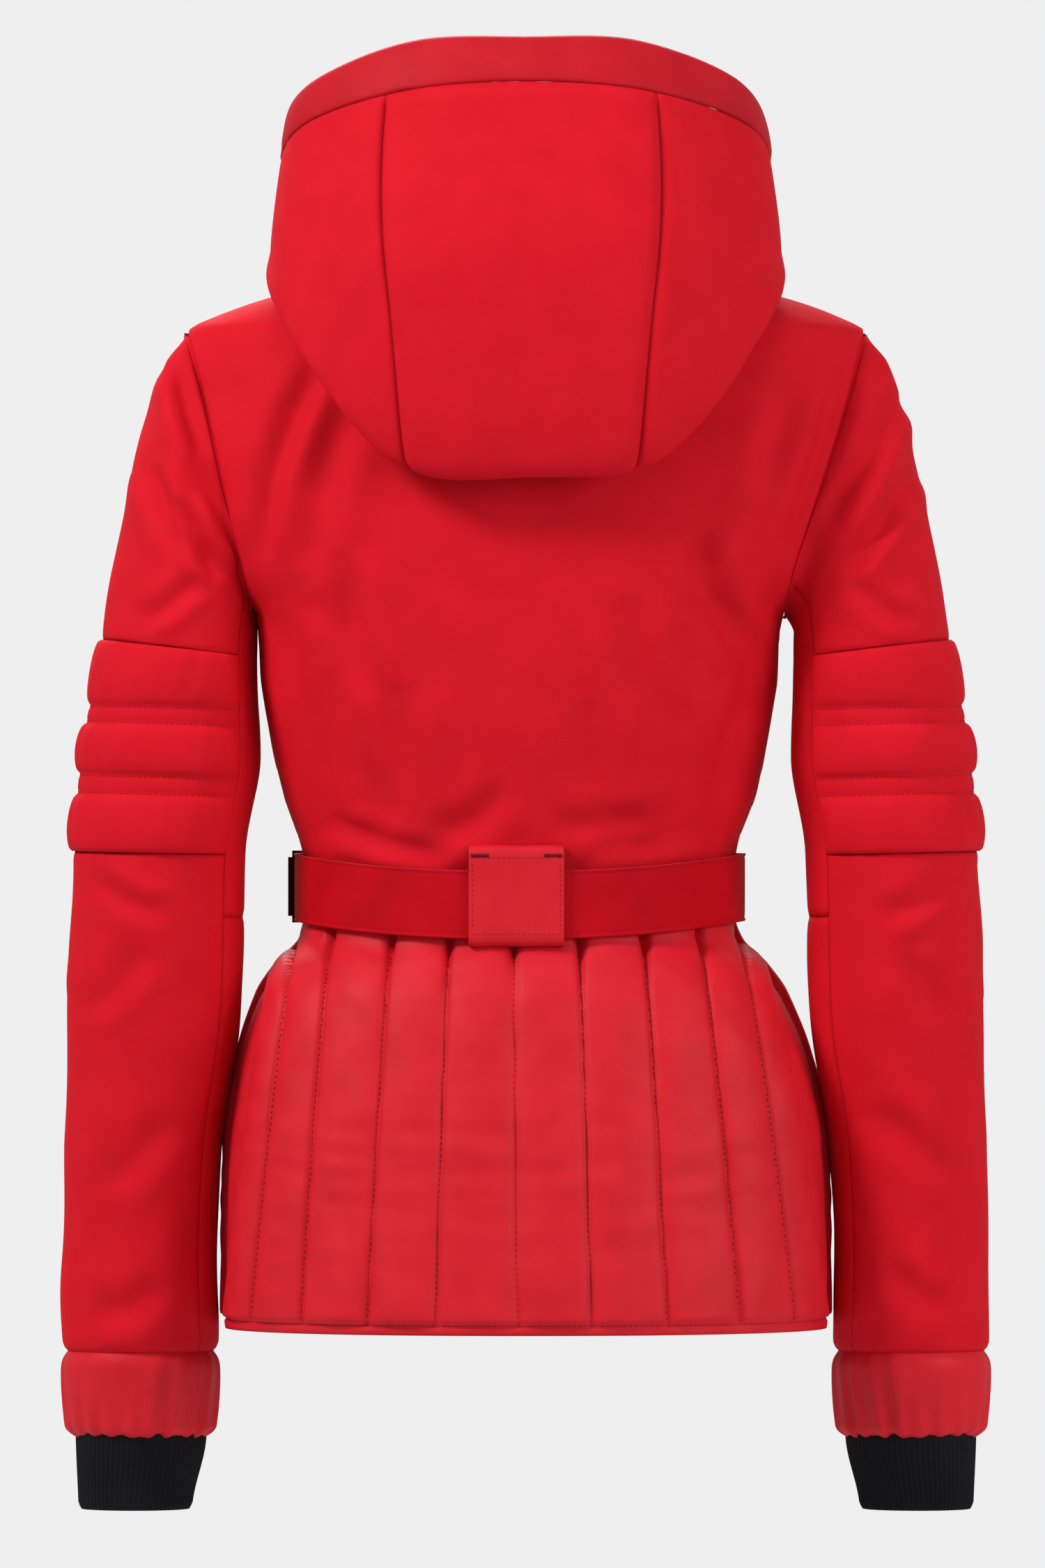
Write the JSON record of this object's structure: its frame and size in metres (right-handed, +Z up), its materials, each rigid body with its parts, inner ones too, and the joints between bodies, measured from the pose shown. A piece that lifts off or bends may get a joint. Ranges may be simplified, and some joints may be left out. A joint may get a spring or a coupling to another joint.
{
  "type": "ski jacket",
  "caption": "Fitted, belted ski jacket with a hood hanging behind, padded elbow ribs, a quilted peplum, gathered cuffs over knit inner cuffs, and a front zip.",
  "frame": {"origin": "the underside of the top of the hanger loop inside the neck, where a hook carries the jacket", "axes": "+Z up, the front faces -Y, the wearer's left is at +X"},
  "size_m": [0.5644, 0.2863, 0.8904],
  "materials": {
    "softshell": "matte red softshell with a fine woven face",
    "satin": "red nylon satin, softly shining",
    "lining": "thin plain lining",
    "fleece": "brushed fleece",
    "tape": "narrow woven tape",
    "webbing": "elastic webbing with a slight sheen",
    "knit": "black rib knit",
    "black_metal": "black, glossy",
    "zip_metal": "dark metal, satin"
  },
  "bodies": {
    "jacket": {"back_body_panel": "softshell", "back_lining": "lining", "left_front_panel": "softshell", "left_front_lining": "lining", "right_front_panel": "softshell", "right_front_lining": "lining", "peplum_back": "satin", "left_peplum_front": "satin", "right_peplum_front": "satin", "peplum_lining": "lining", "collar": "softshell", "collar_lining": "fleece", "hanger_loop": "tape", "left_pocket_zip": "tape", "right_pocket_zip": "tape", "belt_webbing": "webbing", "belt_loop": "satin", "buckle_base": "black_metal", "buckle_pin": "black_metal", "left_zip_tape": "tape", "left_zip_teeth": "zip_metal", "left_top_stop": "zip_metal", "right_zip_tape": "tape", "right_zip_teeth": "zip_metal", "right_top_stop": "zip_metal", "zip_box": "zip_metal", "zip_pin": "zip_metal", "wind_placket": "satin"},
    "left_sleeve": {"left_upper_sleeve": "softshell", "left_elbow_pad": "softshell", "left_lower_sleeve": "softshell", "left_upper_undersleeve": "softshell", "left_lower_undersleeve": "softshell", "left_gathered_cuff": "satin", "left_knit_cuff": "knit", "left_sleeve_lining": "lining"},
    "right_sleeve": {"right_upper_sleeve": "softshell", "right_elbow_pad": "softshell", "right_lower_sleeve": "softshell", "right_upper_undersleeve": "softshell", "right_lower_undersleeve": "softshell", "right_gathered_cuff": "satin", "right_knit_cuff": "knit", "right_sleeve_lining": "lining"},
    "hood": {"hood_centre_panel": "softshell", "hood_left_panel": "softshell", "hood_right_panel": "softshell", "hood_lining": "lining", "hood_brim": "satin"},
    "zip_slider": {"zip_slider": "zip_metal"},
    "zip_pull": {"zip_pull": "zip_metal"},
    "buckle_cover": {"buckle_cover": "black_metal"},
    "left_pocket_slider": {"left_pocket_slider": "zip_metal"},
    "left_pocket_pull": {"left_pocket_pull": "zip_metal"},
    "right_pocket_slider": {"right_pocket_slider": "zip_metal"},
    "right_pocket_pull": {"right_pocket_pull": "zip_metal"}
  },
  "joints": [
    {"name": "left_sleeve_raise", "type": "hinge", "parent": "jacket", "child": "left_sleeve", "pos_m": [0.2076, -0.035, -0.054], "axis": [0, -1, 0], "range_deg": [0, 40]},
    {"name": "right_sleeve_raise", "type": "hinge", "parent": "jacket", "child": "right_sleeve", "pos_m": [-0.2076, -0.035, -0.054], "axis": [0, 1, 0], "range_deg": [0, 40]},
    {"name": "hood_raise", "type": "hinge", "parent": "jacket", "child": "hood", "pos_m": [0, -0.115, -0.011], "axis": [1, 0, 0], "range_deg": [0, 65]},
    {"name": "front_zip_slide", "type": "slide", "parent": "jacket", "child": "zip_slider", "axis": [0, -0.0827, -0.9966], "range_m": [0, 0.635]},
    {"name": "front_pull_swing", "type": "hinge", "parent": "zip_slider", "child": "zip_pull", "pos_m": [0, -0.12102, 0.00919], "axis": [-1, 0, 0], "range_deg": [0, 150]},
    {"name": "buckle_open", "type": "hinge", "parent": "jacket", "child": "buckle_cover", "pos_m": [0.12192, -0.13076, -0.391], "axis": [0, 0, -1], "range_deg": [0, 110]},
    {"name": "left_pocket_slide", "type": "slide", "parent": "jacket", "child": "left_pocket_slider", "axis": [0.0862, 0.002, -0.9963], "range_m": [0, 0.1]},
    {"name": "left_pocket_pull_swing", "type": "hinge", "parent": "left_pocket_slider", "child": "left_pocket_pull", "pos_m": [0.08907, -0.1373, -0.22888], "axis": [-0.9259, -0.3691, -0.0808], "range_deg": [0, 150]},
    {"name": "right_pocket_slide", "type": "slide", "parent": "jacket", "child": "right_pocket_slider", "axis": [-0.0862, 0.002, -0.9963], "range_m": [0, 0.1]},
    {"name": "right_pocket_pull_swing", "type": "hinge", "parent": "right_pocket_slider", "child": "right_pocket_pull", "pos_m": [-0.08907, -0.1373, -0.22888], "axis": [-0.9259, 0.3691, 0.0808], "range_deg": [0, 150]}
  ]
}
